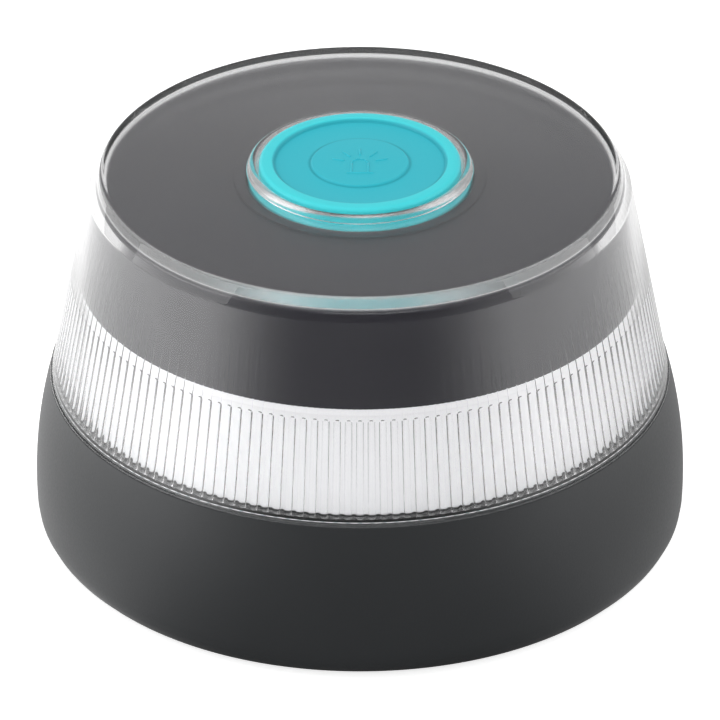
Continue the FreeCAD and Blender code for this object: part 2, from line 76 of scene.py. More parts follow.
def turned(name, outline, steps=192):
    """Draws an outline as a chain of points in edit mode and spins it once round the upright axis."""
    bpy.ops.object.select_all(action="DESELECT")
    bpy.ops.mesh.primitive_plane_add(size=MM, location=(0, 0, 0))
    piece = bpy.context.object
    piece.name = name
    piece.data.name = name
    bpy.ops.object.mode_set(mode="EDIT")
    bpy.ops.mesh.select_all(action="SELECT")
    bpy.ops.mesh.merge(type="CENTER")
    bpy.ops.transform.translate(value=(outline[0].x * MM, 0, outline[0].y * MM))
    last = outline[0]
    for point in outline[1:] + outline[:1]:
        step = ((point.x - last.x) * MM, 0, (point.y - last.y) * MM)
        bpy.ops.mesh.extrude_vertices_move(TRANSFORM_OT_translate={"value": step})
        last = point
    bpy.ops.mesh.select_all(action="SELECT")
    bpy.ops.mesh.spin(steps=steps, angle=math.tau, center=(0, 0, 0), axis=(0, 0, 1))
    bpy.ops.mesh.select_all(action="SELECT")
    bpy.ops.mesh.remove_doubles(threshold=0.002 * MM)
    bpy.ops.mesh.normals_make_consistent(inside=False)
    bpy.ops.object.mode_set(mode="OBJECT")
    smooth_gentle_edges()
    return piece


def place(piece, body, slot, material, *replaced):
    """Gives a finished piece its material and its body, and hides the CAD nodes it stands for. The slot is
    not used.
    """
    piece.data.materials.clear()
    piece.data.materials.append(material)
    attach(piece, body)
    if replaced:
        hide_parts(*replaced)


def new_material(name):
    """A material with its Principled shader and an Object coordinate node, returned with its node tree."""
    material = bpy.data.materials.new(name)
    material.use_nodes = True
    tree = material.node_tree
    shader = tree.nodes["Principled BSDF"]
    coords = tree.nodes.new("ShaderNodeTexCoord")
    return material, tree, shader, coords.outputs["Object"]


def make_moulded_grain():
    """Node group: the fine texture and slight blotchiness of a moulded or rubber skin."""
    group = bpy.data.node_groups.new("moulded_grain", "ShaderNodeTree")
    for title, kind, value in (("Vector", "NodeSocketVector", None), ("Color", "NodeSocketColor", None),
                               ("Mottle", "NodeSocketFloat", 0.1), ("Roughness", "NodeSocketFloat", 0.4),
                               ("Spread", "NodeSocketFloat", 0.1), ("Grain Size", "NodeSocketFloat", 3000.0),
                               ("Relief", "NodeSocketFloat", 0.1)):
        socket = group.interface.new_socket(title, in_out="INPUT", socket_type=kind)
        if value is not None:
            socket.default_value = value
    group.interface.new_socket("Color", in_out="OUTPUT", socket_type="NodeSocketColor")
    group.interface.new_socket("Roughness", in_out="OUTPUT", socket_type="NodeSocketFloat")
    group.interface.new_socket("Normal", in_out="OUTPUT", socket_type="NodeSocketVector")
    nodes, links = group.nodes, group.links
    entry = nodes.new("NodeGroupInput")
    leave = nodes.new("NodeGroupOutput")
    cloud = nodes.new("ShaderNodeTexNoise")
    cloud.inputs["Scale"].default_value = 60
    cloud.inputs["Detail"].default_value = 4
    links.new(entry.outputs["Vector"], cloud.inputs["Vector"])
    dark = nodes.new("ShaderNodeMix")
    dark.data_type = "RGBA"
    dark.blend_type = "MULTIPLY"
    shade = nodes.new("ShaderNodeMapRange")
    shade.inputs["To Min"].default_value = 0.7
    shade.inputs["To Max"].default_value = 1.25
    links.new(cloud.outputs["Fac"], shade.inputs["Value"])
    links.new(entry.outputs["Mottle"], dark.inputs["Factor"])
    links.new(entry.outputs["Color"], dark.inputs["A"])
    links.new(shade.outputs["Result"], dark.inputs["B"])
    links.new(dark.outputs["Result"], leave.inputs["Color"])
    grain = nodes.new("ShaderNodeTexNoise")
    grain.inputs["Detail"].default_value = 2
    links.new(entry.outputs["Vector"], grain.inputs["Vector"])
    links.new(entry.outputs["Grain Size"], grain.inputs["Scale"])
    centred = nodes.new("ShaderNodeMath")
    centred.operation = "SUBTRACT"
    centred.inputs[1].default_value = 0.5
    links.new(grain.outputs["Fac"], centred.inputs[0])
    rough = nodes.new("ShaderNodeMath")
    rough.operation = "MULTIPLY_ADD"
    links.new(centred.outputs["Value"], rough.inputs[0])
    links.new(entry.outputs["Spread"], rough.inputs[1])
    links.new(entry.outputs["Roughness"], rough.inputs[2])
    links.new(rough.outputs["Value"], leave.inputs["Roughness"])
    bump = nodes.new("ShaderNodeBump")
    bump.inputs["Distance"].default_value = 0.05 * MM
    links.new(entry.outputs["Relief"], bump.inputs["Strength"])
    links.new(grain.outputs["Fac"], bump.inputs["Height"])
    links.new(bump.outputs["Normal"], leave.inputs["Normal"])
    return group


moulded_grain = make_moulded_grain()


def skin(name, colour, roughness, mottle=0.3, spread=0.15, grain_size=3000.0, relief=0.3, specular=0.5):
    """An opaque moulded, rubber or resin finish."""
    material, tree, shader, coords = new_material(name)
    grain = tree.nodes.new("ShaderNodeGroup")
    grain.node_tree = moulded_grain
    tree.links.new(coords, grain.inputs["Vector"])
    grain.inputs["Color"].default_value = (*colour, 1)
    grain.inputs["Mottle"].default_value = mottle
    grain.inputs["Roughness"].default_value = roughness
    grain.inputs["Spread"].default_value = spread
    grain.inputs["Grain Size"].default_value = grain_size
    grain.inputs["Relief"].default_value = relief
    tree.links.new(grain.outputs["Color"], shader.inputs["Base Color"])
    tree.links.new(grain.outputs["Roughness"], shader.inputs["Roughness"])
    tree.links.new(grain.outputs["Normal"], shader.inputs["Normal"])
    shader.inputs["Specular IOR Level"].default_value = specular
    return material


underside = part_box("base_housing")[0].z / MM
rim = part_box("base_housing")[1].z / MM
belly = 45.0
belly_z = underside + 7.1
side_arc = 61.7
wall = 2.2
rim_land = 1.7
ledge = rim - 4.9
ledge_bore = 36.96
ledge_thick = 1.6
cover_bore = 30.5
flange_bore = 28.5
flange_low = underside + 1.95
flange_high = underside + 3.15
bay_bore = 32.1
bay_high = 12.27
floor_high = underside + 2.0


def side(z, inset=0.0):
    """Radius of the crowned side at a height, moved inwards by inset."""
    return belly - side_arc + math.sqrt((side_arc - inset) ** 2 - (z - belly_z) ** 2)


rim_radius = side(rim)
rim_bore = rim_radius - rim_land
foot_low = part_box("foot_ring")[0].z / MM
foot_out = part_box("foot_ring")[1].x / MM
foot_in = foot_out - 1.6
foot_groove = underside + 0.8
bottom_round = 4.0
side_low = underside + bottom_round
side_heights = [side_low + (rim - side_low) * k / 14 for k in range(14)]
inner_heights = [bay_high - (bay_high - floor_high) * k / 6 for k in range(7)]
base_outline = eased(
    [(cover_bore, underside, 0.15), (foot_in, underside, 0.1), (foot_in, foot_groove, 0),
     (foot_out, foot_groove, 0), (foot_out, underside, 0.1), (side(side_low), underside, bottom_round)]
    + [(side(z), z, 0) for z in side_heights]
    + [(rim_radius, rim, 0.22), (rim_bore, rim, 0.15), (rim_bore, ledge, 0.1), (ledge_bore, ledge, 0.15),
       (ledge_bore, ledge - ledge_thick, 0.2)]
    + [(side(z, wall), z, 0) for z in inner_heights]
    + [(bay_bore, floor_high, 0.2), (bay_bore, flange_high, 0.1), (flange_bore, flange_high, 0.1),
       (flange_bore, flange_low, 0.05), (cover_bore, flange_low, 0)])
housing_grey = skin("housing_grey", (0.023, 0.025, 0.027), 0.46, mottle=0.25, relief=0.25, specular=0.46)
base_shell = turned("base_shell", base_outline, 256)
place(base_shell, "base", "dark_housing", housing_grey, "base_housing")

# ---- Rubber foot ---------------------------------------------------------------------------------------
# A ring of black rubber in a groove under the base. It keeps the magnets off the paint and stops the beacon
# from sliding.
rubber_black = skin("rubber_black", (0.018, 0.018, 0.018), 0.72, mottle=0.5, grain_size=1800, relief=0.5)
foot_outline = eased([(foot_in, foot_low, 0.25), (foot_out, foot_low, 0.25), (foot_out, foot_groove, 0),
                      (foot_in, foot_groove, 0)])
rubber_foot = turned("rubber_foot", foot_outline)
place(rubber_foot, "base", "black_rubber", rubber_black, "foot_ring")

# ---- Clear cap -----------------------------------------------------------------------------------------
# The lens: one thick polished polycarbonate moulding. A collar stands round the button, the shoulder is
# bevelled, and shallow round-ended ribs inside the side bend the light. Its tongue snaps into the base.
cap_top = rim + 31.5
shoulder = cap_top - 2.9
crown = 35.5
lens_draft = math.radians(11.23)
lens_wall = 2.0
under_top = cap_top - 2.4
collar_bore = 14.05
collar_out = 15.4
collar_top = cap_top + 0.9
tongue_out = rim_bore - 0.1
tongue_in = tongue_out - 1.6
tongue_low = ledge + 1.0
lens_floor = rim + 0.1
bead = ledge + 2.7
bead_half = 0.8
bead_proud = 0.4
foot_step = 0.26
foot_edge = 0.4


def cone(z, inset=0.0):
    """Radius of the lens's side at a height, moved in square to the side."""
    return rim_radius - (z - rim) * math.tan(lens_draft) - inset / math.cos(lens_draft)


cap_outline = eased(
    [(tongue_in, tongue_low, 0.2), (tongue_out, tongue_low, 0.3), (tongue_out, bead - bead_half, 0),
     (tongue_out + bead_proud, bead, 0.2), (tongue_out, bead + bead_half, 0), (tongue_out, rim, 0),
     (rim_radius, rim, 0.12), (rim_radius - 0.05, rim + foot_edge - 0.1, 0.12),
     (rim_radius - foot_step, rim + foot_edge, 0.08), (cone(shoulder), shoulder, 1.1), (crown, cap_top, 0.9),
     (collar_out, cap_top, 0.2), (collar_out, collar_top, 0.65), (collar_bore, collar_top, 0.55),
     (collar_bore, under_top, 0.3), (cone(under_top, lens_wall), under_top, 0.8),
     (cone(lens_floor, lens_wall), lens_floor, 0.3), (tongue_in, lens_floor, 0.2)], bend=6)
rib_count = 160
rib_radius = 0.54
rib_bend = 0.86
rib_low = rim + 0.15
rib_length = 14.36


def add_ribs(cap):
    """Models one rib on the inner slope, copies it round the axis and joins the ribs to the cap."""
    foot = Vector((cone(rib_low, lens_wall), 0, rib_low)) * MM
    lean = Vector((-math.sin(lens_draft), 0, math.cos(lens_draft)))
    outward = Vector((math.cos(lens_draft), 0, math.sin(lens_draft)))
    sunk = math.sqrt(rib_bend ** 2 - rib_radius ** 2)
    start = foot + (lean * rib_radius + outward * sunk) * MM
    bpy.ops.object.select_all(action="DESELECT")
    bpy.ops.mesh.primitive_uv_sphere_add(segments=24, ring_count=12, radius=rib_bend * MM,
                                         location=(0, 0, 0))
    rib = bpy.context.object
    rib.name = "lens_ribs"
    bpy.ops.object.mode_set(mode="EDIT")
    bpy.ops.mesh.select_all(action="DESELECT")
    bpy.ops.object.mode_set(mode="OBJECT")
    for vertex in rib.data.vertices:
        vertex.select = vertex.co.z > 0.01 * MM
    bpy.ops.object.mode_set(mode="EDIT")
    bpy.ops.transform.translate(value=(0, 0, (rib_length - 2 * rib_radius) * MM))
    bpy.ops.mesh.select_all(action="SELECT")
    bpy.ops.object.mode_set(mode="OBJECT")
    rib.rotation_euler = (0, -lens_draft, 0)
    rib.location = start
    bpy.ops.object.transform_apply(location=True, rotation=True, scale=True)
    turner = bpy.data.objects.new("rib_turner", None)
    bpy.context.scene.collection.objects.link(turner)
    turner.rotation_euler = (0, 0, math.tau / rib_count)
    array = rib.modifiers.new("round", "ARRAY")
    array.count = rib_count
    array.use_relative_offset = False
    array.use_object_offset = True
    array.offset_object = turner
    bpy.context.view_layer.update()
    bpy.ops.object.modifier_apply(modifier="round")
    bpy.data.objects.remove(turner)
    bpy.ops.object.select_all(action="DESELECT")
    cap.select_set(True)
    bpy.context.view_layer.objects.active = cap
    union = cap.modifiers.new("ribs", "BOOLEAN")
    union.operation = "UNION"
    union.solver = "EXACT"
    union.object = rib
    bpy.ops.object.modifier_apply(modifier="ribs")
    bpy.data.objects.remove(rib)
    smooth_gentle_edges()


def make_clear_moulding():
    """Polished clear polycarbonate. Lamps reach what is behind it, as they do through the real thing."""
    material, tree, shader, coords = new_material("clear_polycarbonate")
    shader.inputs["Base Color"].default_value = (0.992, 0.990, 0.994, 1)
    shader.inputs["Transmission Weight"].default_value = 1.0
    shader.inputs["IOR"].default_value = 1.54
    flow = tree.nodes.new("ShaderNodeTexNoise")
    flow.inputs["Scale"].default_value = 45
    flow.inputs["Detail"].default_value = 1
    tree.links.new(coords, flow.inputs["Vector"])
    gloss = tree.nodes.new("ShaderNodeMapRange")
    gloss.inputs["To Min"].default_value = 0.0
    gloss.inputs["To Max"].default_value = 0.03
    tree.links.new(flow.outputs["Fac"], gloss.inputs["Value"])
    depth = tree.nodes.new("ShaderNodeVectorMath")
    depth.operation = "MULTIPLY"
    depth.inputs[1].default_value = (1, 1, 0)
    tree.links.new(coords, depth.inputs[0])
    radius = tree.nodes.new("ShaderNodeVectorMath")
    radius.operation = "LENGTH"
    tree.links.new(depth.outputs["Vector"], radius.inputs[0])
    height = tree.nodes.new("ShaderNodeSeparateXYZ")
    tree.links.new(coords, height.inputs["Vector"])
    slant = tree.nodes.new("ShaderNodeMath")
    slant.operation = "MULTIPLY_ADD"
    slant.inputs[1].default_value = math.tan(lens_draft)
    tree.links.new(height.outputs["Z"], slant.inputs[0])
    tree.links.new(radius.outputs["Value"], slant.inputs[2])
    satin = tree.nodes.new("ShaderNodeMapRange")
    rib_root = (cone(rim, lens_wall) + rim * math.tan(lens_draft)) * MM
    fade = 0.1 * MM
    satin.inputs["From Min"].default_value = rib_root + fade
    satin.inputs["From Max"].default_value = rib_root - fade
    satin.inputs["To Min"].default_value = 0.0
    satin.inputs["To Max"].default_value = 0.16
    tree.links.new(slant.outputs["Value"], satin.inputs["Value"])
    rough = tree.nodes.new("ShaderNodeMath")
    tree.links.new(gloss.outputs["Result"], rough.inputs[0])
    tree.links.new(satin.outputs["Result"], rough.inputs[1])
    tree.links.new(rough.outputs["Value"], shader.inputs["Roughness"])
    bump = tree.nodes.new("ShaderNodeBump")
    bump.inputs["Strength"].default_value = 0.02
    bump.inputs["Distance"].default_value = 0.2 * MM
    tree.links.new(flow.outputs["Fac"], bump.inputs["Height"])
    tree.links.new(bump.outputs["Normal"], shader.inputs["Normal"])
    path = tree.nodes.new("ShaderNodeLightPath")
    passing = tree.nodes.new("ShaderNodeBsdfTransparent")
    passing.inputs["Color"].default_value = (0.93, 0.95, 0.95, 1)
    lamps = tree.nodes.new("ShaderNodeMixShader")
    tree.links.new(path.outputs["Is Shadow Ray"], lamps.inputs["Fac"])
    tree.links.new(shader.outputs["BSDF"], lamps.inputs[1])
    tree.links.new(passing.outputs["BSDF"], lamps.inputs[2])
    tree.links.new(lamps.outputs["Shader"], tree.nodes["Material Output"].inputs["Surface"])
    return material


clear_cap = turned("clear_cap", cap_outline, 320)
add_ribs(clear_cap)
place(clear_cap, "base", "clear_lens", make_clear_moulding(), "lens")

# ---- Diffuser carrier ----------------------------------------------------------------------------------
# A plain ring moulded in black. It stands on the base's ledge inside the lens's tongue, keeps the tongue's
# bead in the base's groove and carries the white diffuser.
carrier_out = tongue_in - 0.3
carrier_in = carrier_out - 1.5
carrier_outline = eased([(carrier_in, ledge, 0.2), (carrier_out, ledge, 0.2), (carrier_out, lens_floor, 0.1),
                         (carrier_in, lens_floor, 0.1)])
carrier_black = skin("carrier_black", (0.016, 0.016, 0.018), 0.5, mottle=0.3, grain_size=2400, relief=0.2)
carrier = turned("diffuser_foot", carrier_outline)
place(carrier, "base", "black_moulding", carrier_black, "diffuser_carrier")

# ---- White diffuser ------------------------------------------------------------------------------------
# The ring behind the ribs spreads the lamps' light into an even band. It is moulded in opal white, stands on
# the carrier and holds the dark inner cap on its spigot. A faint emission paints a glow on it that lightens
# its shaded band.
cap_edge = rim + 15.45
lip_low = rim + 14.35
lip_inset = lens_wall + 0.45
diffuser_inset = lens_wall + rib_radius + 0.85
shroud_inset = lens_wall + 0.3
shroud_wall = 1.5
spigot = cone(cap_edge, shroud_inset + shroud_wall) - 0.15
spigot_wall = 1.5
spigot_lean = 0.3
spigot_top = cap_edge + 1.5
diffuser_outline = eased(
    [(carrier_in, lens_floor, 0.1), (cone(lens_floor, diffuser_inset), lens_floor, 0.25),
     (cone(lip_low, diffuser_inset), lip_low, 0.2), (cone(lip_low, lip_inset), lip_low, 0.2),
     (cone(cap_edge, lip_inset), cap_edge, 0.05), (spigot, cap_edge, 0),
     (spigot - spigot_lean, spigot_top, 0.2), (spigot - spigot_lean - spigot_wall, spigot_top, 0.2),
     (spigot - spigot_wall, cap_edge, 0.5)])
opal_white_painted_glow = skin("opal_white_painted_glow", (0.94, 0.935, 0.95), 0.42, mottle=0.04, grain_size=2200, relief=0.05)
# The emission below is a painted glow: the ring is no lamp, and the glow lightens its shaded band behind the
# ribs.
opal_shader = opal_white_painted_glow.node_tree.nodes["Principled BSDF"]
opal_white_painted_glow.node_tree.links.new(opal_white_painted_glow.node_tree.nodes["Group"].outputs["Color"],
                               opal_shader.inputs["Emission Color"])
opal_shader.inputs["Emission Strength"].default_value = 0.13
white_ring = turned("white_ring", diffuser_outline)
place(white_ring, "base", "white_diffuser", opal_white_painted_glow, "diffuser_ring")

# ---- Dark inner cap ------------------------------------------------------------------------------------
# The shroud under the clear top hides the boards. It is a satin charcoal moulding with a flat disc, a
# sloping skirt and a well that the button drops into.
shroud_top = under_top - 0.4
shroud_ceiling = shroud_top - 1.6
well = 15.6
well_out = well + 1.6
board_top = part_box("top_board")[1].z / MM
shroud_outline = eased(
    [(well, board_top, 0), (well, shroud_top, 0.3), (cone(shroud_top, shroud_inset), shroud_top, 0.8),
     (cone(cap_edge, shroud_inset), cap_edge, 0.2),
     (cone(cap_edge, shroud_inset + shroud_wall), cap_edge, 0),
     (cone(shroud_ceiling, shroud_inset + shroud_wall), shroud_ceiling, 0.4),
     (well_out, shroud_ceiling, 0.3), (well_out, board_top, 0)])
charcoal = skin("charcoal", (0.027, 0.026, 0.033), 0.34, mottle=0.12, spread=0.04, grain_size=2600,
                relief=0.004, specular=0.12)
inner_cap = turned("inner_cap", shroud_outline, 256)
place(inner_cap, "base", "dark_shroud", charcoal, "shroud")

# ---- Well gasket ---------------------------------------------------------------------------------------
# A flat ring of charcoal rubber on the well's brim. It fills the space up to the clear cap and keeps water
# out of the well.
gasket_top = under_top - 0.12
gasket_outline = eased([(well, shroud_top, 0.05), (well, gasket_top, 0.08), (well_out, gasket_top, 0.08),
                        (well_out, shroud_top, 0.05)])
gasket_rubber = skin("gasket_rubber", (0.030, 0.029, 0.036), 0.5, mottle=0.15, grain_size=2200, relief=0.05,
                     specular=0.15)
gasket = turned("well_gasket", gasket_outline)
place(gasket, "base", "black_rubber", gasket_rubber, "button_seal")

# ---- Push button ---------------------------------------------------------------------------------------
# The button is moulded in teal silicone. A raised rim guides the thumb, and the middle has a low disc with a
# beacon sign in relief. Its stem presses the switch.
button_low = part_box("button_cap")[0].z / MM
button_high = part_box("button_cap")[1].z / MM
press_radius = 13.8
rim_width = 1.75
face = button_high - 0.5
face_under = face - 1.6
stem_radius = 3.0
hollow_radius = 12.3
brim_radius = 15.2
brim_top = under_top - 0.2
brim_low = brim_top - 1.3
rim_foot = press_radius - rim_width
disc_radius = 6.55
disc_top = face + 0.25
button_outline = eased(
    [(0, button_low, 0), (stem_radius, button_low, 0.2), (stem_radius, face_under, 0.4),
     (hollow_radius, face_under, 0.4), (hollow_radius, brim_low, 0.2), (brim_radius, brim_low, 0.2),
     (brim_radius, brim_top, 0.2), (press_radius, brim_top, 0.2), (press_radius, button_high, 0.6),
     (rim_foot, button_high, 0.35), (rim_foot - 0.35, face, 0.25), (disc_radius + 0.25, face, 0.15),
     (disc_radius, disc_top, 0.15), (0, disc_top, 0)])
press_button = turned("press_button", button_outline)


def make_teal_silicone():
    """Teal silicone with light and shade painted into its colour: a painted highlight lightens the raised
    rim, and painted shade darkens the grooves at the rim and the disc.
    """
    # The face colour is the silicone's own; the groove colour is painted shade and the rim colour a painted
    # highlight.
    face_teal = (0.03, 0.50, 0.60)
    groove_shade_teal = (0.012, 0.37, 0.45)
    rim_highlight_teal = (0.055, 0.68, 0.74)
    material = skin("teal_silicone", face_teal, 0.42, mottle=0.08, grain_size=2600, relief=0.1,
                    specular=0.35)
    tree = material.node_tree
    flat = tree.nodes.new("ShaderNodeVectorMath")
    flat.operation = "MULTIPLY"
    flat.inputs[1].default_value = (1, 1, 0)
    tree.links.new(tree.nodes["Texture Coordinate"].outputs["Object"], flat.inputs[0])
    radius = tree.nodes.new("ShaderNodeVectorMath")
    radius.operation = "LENGTH"
    tree.links.new(flat.outputs["Vector"], radius.inputs[0])
    share = tree.nodes.new("ShaderNodeMath")
    share.operation = "DIVIDE"
    share.inputs[1].default_value = press_radius * MM
    tree.links.new(radius.outputs["Value"], share.inputs[0])
    rings = tree.nodes.new("ShaderNodeValToRGB")
    rings.color_ramp.interpolation = "EASE"
    # Rings by radius: painted shade just outside the disc and at the foot of the rim, then a painted
    # highlight over the raised rim.
    stops = ((disc_radius, face_teal), (disc_radius + 0.28, groove_shade_teal), (disc_radius + 0.7, face_teal),
             (rim_foot - 0.75, face_teal), (rim_foot - 0.3, groove_shade_teal), (rim_foot + 0.1, rim_highlight_teal))
    while len(rings.color_ramp.elements) < len(stops):
        rings.color_ramp.elements.new(0.5)
    for stop, (where, colour) in zip(rings.color_ramp.elements, stops):
        stop.position = where / press_radius
        stop.color = (*colour, 1)
    tree.links.new(share.outputs["Value"], rings.inputs["Fac"])
    tree.links.new(rings.outputs["Color"], tree.nodes["Group"].inputs["Color"])
    return material


teal_silicone = make_teal_silicone()
place(press_button, "button", "teal_rubber", teal_silicone, "button_cap")

# ---- Beacon sign on the button -------------------------------------------------------------------------
# A sign in low relief on the button's disc: a beacon's dome on its foot, with rays above it. It is part of
# the same silicone moulding.


def raised_bar(name, start, end, width=0.34, height=0.14):
    """A round-ended bar in low relief between two places on the button's disc."""
    run = Vector(end) - Vector(start)
    bpy.ops.object.select_all(action="DESELECT")
    bpy.ops.mesh.primitive_uv_sphere_add(segments=16, ring_count=10, radius=1, location=(0, 0, 0))
    bar = bpy.context.object
    bar.name = name
    bar.data.transform(Matrix.Diagonal((width / 2, width / 2, height, 1)))
    for vertex in bar.data.vertices:
        if vertex.co.x > 0.001:
            vertex.co.x += run.length - width
    bar.data.transform(Matrix.Translation((width / 2, 0, 0)))
    bar.data.transform(Matrix.Rotation(math.atan2(run.y, run.x), 4, "Z"))
    bar.data.transform(Matrix.Translation((start[0], start[1], disc_top)))
    bar.data.transform(Matrix.Scale(MM, 4))
    bpy.ops.object.shade_smooth()
    return bar


dome_half = 1.15
dome_low = -0.4
wall_low = -3.0
plinth_low = -3.1
plinth_half = 1.9
ray_start = 2.2
ray_end = 4.0
sign_bars = [((-dome_half, wall_low), (-dome_half, dome_low)),
             ((dome_half, wall_low), (dome_half, dome_low)),
             ((-plinth_half, plinth_low), (plinth_half, plinth_low))]
arch = [math.radians(a) for a in range(0, 181, 30)]
sign_bars += [((dome_half * math.cos(a), dome_low + dome_half * math.sin(a)),
               (dome_half * math.cos(b), dome_low + dome_half * math.sin(b)))
              for a, b in zip(arch, arch[1:])]
for angle in (18, 54, 90, 126, 162):
    across = math.cos(math.radians(angle))
    up = math.sin(math.radians(angle))
    sign_bars.append(((ray_start * across, dome_low + ray_start * up),
                      (ray_end * across, dome_low + ray_end * up)))
bars = [raised_bar("beacon_sign_%d" % (i + 1), *ends) for i, ends in enumerate(sign_bars)]
for bar in bars:
    place(bar, "button", "teal_rubber", teal_silicone)

# ---- Battery cover -------------------------------------------------------------------------------------
# The round cover under the base, moulded in the housing's plastic. A coin in its slot turns it; three lugs
# on its neck lock it. Its edges are broken, as the mould leaves them.


def dress(material, *names):
    """Gives CAD nodes that show as they are their material."""
    for name in names:
        node[name].data.materials.clear()
        node[name].data.materials.append(material)


def break_edges(name, width):
    """Rounds the sharp edges of a CAD node by a modifier, inwards from its faces."""
    bevel = node[name].modifiers.new("broken_edges", "BEVEL")
    bevel.width = width * MM
    bevel.segments = 2
    bevel.limit_method = "ANGLE"
    bevel.angle_limit = math.radians(40)


cover_grey = skin("cover_grey", (0.025, 0.027, 0.029), 0.52, mottle=0.35, grain_size=1500, relief=0.5)
dress(cover_grey, "battery_cover")
break_edges("battery_cover", 0.12)

# ---- Cover and lens seals ------------------------------------------------------------------------------
# Two rings of black rubber: one lies in the cover's groove, the other under the lens's tongue.
seal_rubber = skin("seal_rubber", (0.015, 0.015, 0.016), 0.6, mottle=0.4, grain_size=1600, relief=0.3)
dress(seal_rubber, "cover_seal", "lens_seal")

# ---- Magnets -------------------------------------------------------------------------------------------
# Four neodymium discs, nickel plated, pressed into the cups behind the floor.


def metal(name, colour, roughness, grain=(400.0, 400.0, 400.0), relief=0.15):
    """Bare or plated metal, with cloudy roughness and fine marks that follow the stretch of the grain."""
    material, tree, shader, coords = new_material(name)
    stretch = tree.nodes.new("ShaderNodeMapping")
    stretch.inputs["Scale"].default_value = grain
    tree.links.new(coords, stretch.inputs["Vector"])
    marks = tree.nodes.new("ShaderNodeTexNoise")
    marks.inputs["Scale"].default_value = 1.0
    marks.inputs["Detail"].default_value = 3
    tree.links.new(stretch.outputs["Vector"], marks.inputs["Vector"])
    tones = tree.nodes.new("ShaderNodeValToRGB")
    tones.color_ramp.elements[0].position = 0.3
    tones.color_ramp.elements[0].color = (*[0.82 * part for part in colour], 1)
    tones.color_ramp.elements[1].position = 0.7
    tones.color_ramp.elements[1].color = (*colour, 1)
    tree.links.new(marks.outputs["Fac"], tones.inputs["Fac"])
    tree.links.new(tones.outputs["Color"], shader.inputs["Base Color"])
    dull = tree.nodes.new("ShaderNodeMapRange")
    dull.inputs["To Min"].default_value = roughness - 0.08
    dull.inputs["To Max"].default_value = roughness + 0.08
    tree.links.new(marks.outputs["Fac"], dull.inputs["Value"])
    tree.links.new(dull.outputs["Result"], shader.inputs["Roughness"])
    bump = tree.nodes.new("ShaderNodeBump")
    bump.inputs["Strength"].default_value = relief
    bump.inputs["Distance"].default_value = 0.02 * MM
    tree.links.new(marks.outputs["Fac"], bump.inputs["Height"])
    tree.links.new(bump.outputs["Normal"], shader.inputs["Normal"])
    shader.inputs["Metallic"].default_value = 1.0
    return material


dress(metal("nickel_plate", (0.75, 0.73, 0.70), 0.22), "magnets")

# ---- Battery cradle ------------------------------------------------------------------------------------
# The tray over the cells, moulded in black. It closes the base above and carries the main board.
dress(skin("cradle_black", (0.020, 0.020, 0.022), 0.5, mottle=0.3, grain_size=1800), "battery_cradle")

# ---- Battery cells -------------------------------------------------------------------------------------
# Three AAA cells: steel cans in a plain blue sleeve that leaves both ends bare.
sleeve_half = 21.0


def make_cell_jacket():
    """Glossy blue sleeve, shrunk on, with bare steel at the ends of the cell."""
    material = skin("cell_jacket", (0.10, 0.16, 0.28), 0.25, mottle=0.25, grain_size=900, relief=0.05)
    tree = material.node_tree
    along = tree.nodes.new("ShaderNodeSeparateXYZ")
    tree.links.new(tree.nodes["Texture Coordinate"].outputs["Object"], along.inputs["Vector"])
    far = tree.nodes.new("ShaderNodeMath")
    far.operation = "ABSOLUTE"
    tree.links.new(along.outputs["Y"], far.inputs[0])
    bare = tree.nodes.new("ShaderNodeMath")
    bare.operation = "GREATER_THAN"
    bare.inputs[1].default_value = sleeve_half * MM
    tree.links.new(far.outputs["Value"], bare.inputs[0])
    steel = tree.nodes.new("ShaderNodeMix")
    steel.data_type = "RGBA"
    steel.inputs["B"].default_value = (0.62, 0.61, 0.59, 1)
    tree.links.new(bare.outputs["Value"], steel.inputs["Factor"])
    tree.links.new(tree.nodes["Group"].outputs["Color"], steel.inputs["A"])
    shader = tree.nodes["Principled BSDF"]
    tree.links.new(steel.outputs["Result"], shader.inputs["Base Color"])
    tree.links.new(bare.outputs["Value"], shader.inputs["Metallic"])
    return material


dress(make_cell_jacket(), "battery_cell_1", "battery_cell_2", "battery_cell_3")

# ---- Battery contacts ----------------------------------------------------------------------------------
# Flat plates at the front of the bay and bent strip springs at its back, both stamped and nickel plated.
dress(metal("contact_nickel", (0.72, 0.70, 0.66), 0.3, grain=(300.0, 300.0, 2400.0)),
      "contact_plates", "contact_springs")

# ---- Boards --------------------------------------------------------------------------------------------
# The main board and the top board: glass fibre under green solder mask, with the tracks showing faintly.


